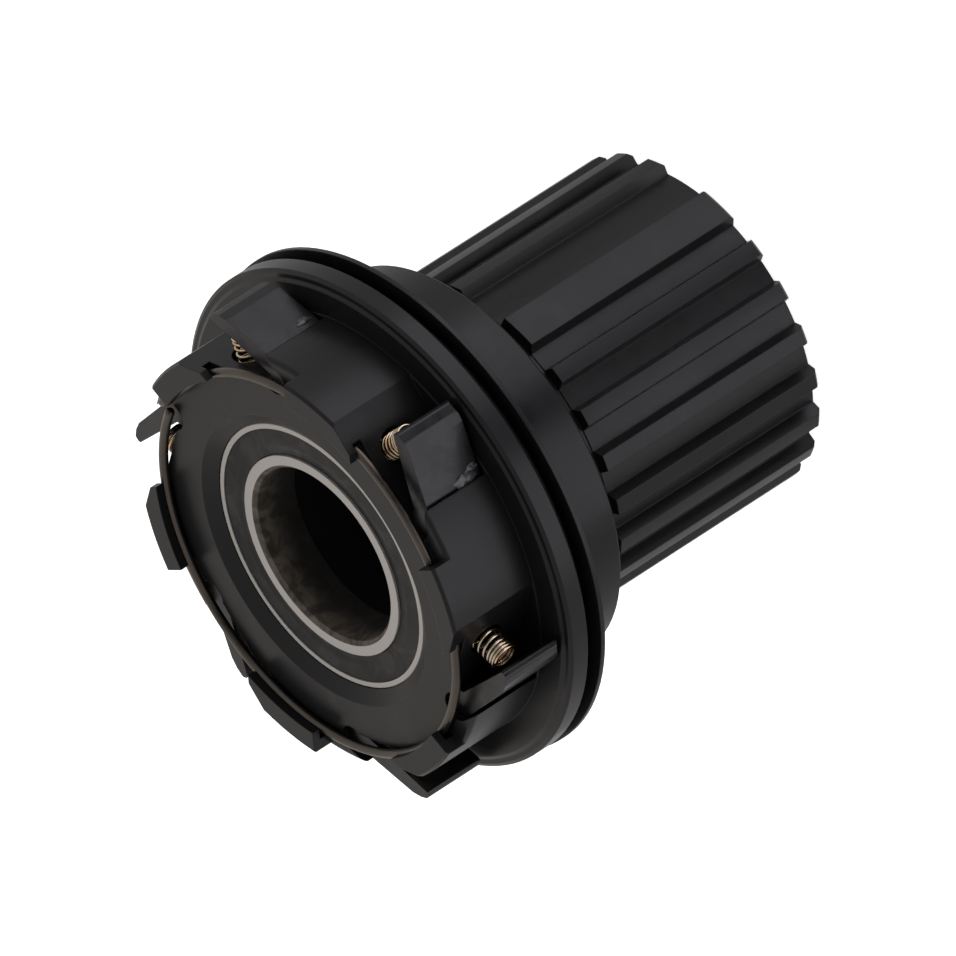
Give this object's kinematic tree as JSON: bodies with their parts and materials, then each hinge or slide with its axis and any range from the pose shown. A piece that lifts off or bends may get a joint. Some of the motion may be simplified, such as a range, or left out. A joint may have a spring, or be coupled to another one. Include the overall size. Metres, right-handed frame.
{
  "type": "freehub body",
  "caption": "Bicycle freehub body: splined cassette driver with a wide key spline, flanged nose, sprung pawls in pockets, wire ring and sealed ball bearings.",
  "frame": {"origin": "centre of the outboard end face, on the axle's line", "axes": "+Z along the axle from the outboard end to the pawl nose; pawl 1's pocket faces 60 degrees clockwise of +X seen from the nose"},
  "size_m": [0.0491, 0.049, 0.0467],
  "materials": {
    "black_anodised": "satin black anodised, bead blasted and turned",
    "bronze_wire": "bronze-brown oiled spring wire",
    "black_rubber": "matt black nitrile rubber",
    "seal_rubber": "smooth black moulded rubber",
    "spring_steel": "phosphated spring steel",
    "bearing_steel": "ground bearing steel",
    "ball_steel": "polished steel balls",
    "cage_nylon": "glass-filled nylon",
    "spacer_black": "black anodised tube",
    "pawl_steel": "black oxide hardened steel with a film of oil",
    "spring_wire": "gold-coloured spring wire"
  },
  "bodies": {
    "body": {"freehub_shell": "black_anodised", "pawl_ring": "bronze_wire", "flange_seal": "black_rubber", "outboard_circlip": "spring_steel", "inboard_outer_ring": "bearing_steel", "inboard_front_seal": "seal_rubber", "inboard_rear_seal": "seal_rubber", "outboard_outer_ring": "bearing_steel", "outboard_front_seal": "seal_rubber", "outboard_rear_seal": "seal_rubber", "pawl_spring_1": "spring_wire", "pawl_spring_2": "spring_wire", "pawl_spring_3": "spring_wire", "pawl_spring_4": "spring_wire", "pawl_spring_5": "spring_wire", "pawl_spring_6": "spring_wire"},
    "pawl_1": {"pawl_1": "pawl_steel"},
    "pawl_2": {"pawl_2": "pawl_steel"},
    "pawl_3": {"pawl_3": "pawl_steel"},
    "pawl_4": {"pawl_4": "pawl_steel"},
    "pawl_5": {"pawl_5": "pawl_steel"},
    "pawl_6": {"pawl_6": "pawl_steel"},
    "axle_sleeve": {"inboard_inner_ring": "bearing_steel", "axle_spacer": "spacer_black", "outboard_inner_ring": "bearing_steel"},
    "inboard_balls": {"inboard_balls": "ball_steel", "inboard_cage": "cage_nylon"},
    "outboard_balls": {"outboard_balls": "ball_steel", "outboard_cage": "cage_nylon"}
  },
  "joints": [
    {"name": "pawl_1_fold", "type": "hinge", "parent": "body", "child": "pawl_1", "pos_m": [0.01492, -0.01125, 0.04115], "axis": [0, 0, 1], "range_deg": [0, 25], "stiffness_Nm_per_rad": 0.02, "springref_deg": -20.05, "deforming": ["pawl_spring_1"]},
    {"name": "pawl_2_fold", "type": "hinge", "parent": "body", "child": "pawl_2", "pos_m": [-0.00228, -0.01855, 0.04115], "axis": [0, 0, 1], "range_deg": [0, 25], "stiffness_Nm_per_rad": 0.02, "springref_deg": -20.05, "deforming": ["pawl_spring_2"]},
    {"name": "pawl_3_fold", "type": "hinge", "parent": "body", "child": "pawl_3", "pos_m": [-0.0172, -0.0073, 0.04115], "axis": [0, 0, 1], "range_deg": [0, 25], "stiffness_Nm_per_rad": 0.02, "springref_deg": -20.05, "deforming": ["pawl_spring_3"]},
    {"name": "pawl_4_fold", "type": "hinge", "parent": "body", "child": "pawl_4", "pos_m": [-0.01492, 0.01125, 0.04115], "axis": [0, 0, 1], "range_deg": [0, 25], "stiffness_Nm_per_rad": 0.02, "springref_deg": -20.05, "deforming": ["pawl_spring_4"]},
    {"name": "pawl_5_fold", "type": "hinge", "parent": "body", "child": "pawl_5", "pos_m": [0.00228, 0.01855, 0.04115], "axis": [0, 0, 1], "range_deg": [0, 25], "stiffness_Nm_per_rad": 0.02, "springref_deg": -20.05, "deforming": ["pawl_spring_5"]},
    {"name": "pawl_6_fold", "type": "hinge", "parent": "body", "child": "pawl_6", "pos_m": [0.0172, 0.0073, 0.04115], "axis": [0, 0, 1], "range_deg": [0, 25], "stiffness_Nm_per_rad": 0.02, "springref_deg": -20.05, "deforming": ["pawl_spring_6"]},
    {"name": "sleeve_turn", "type": "hinge", "parent": "body", "child": "axle_sleeve", "pos_m": [0, 0, 0.0416], "axis": [0, 0, 1], "continuous": true},
    {"name": "inboard_balls_turn", "type": "hinge", "parent": "body", "child": "inboard_balls", "pos_m": [0, 0, 0.0416], "axis": [0, 0, 1], "continuous": true},
    {"name": "outboard_balls_turn", "type": "hinge", "parent": "body", "child": "outboard_balls", "pos_m": [0, 0, 0.0124], "axis": [0, 0, 1], "continuous": true}
  ],
  "couplings": [
    {"joint": "inboard_balls_turn", "follows": "sleeve_turn", "ratio": 0.4447},
    {"joint": "outboard_balls_turn", "follows": "sleeve_turn", "ratio": 0.439}
  ]
}
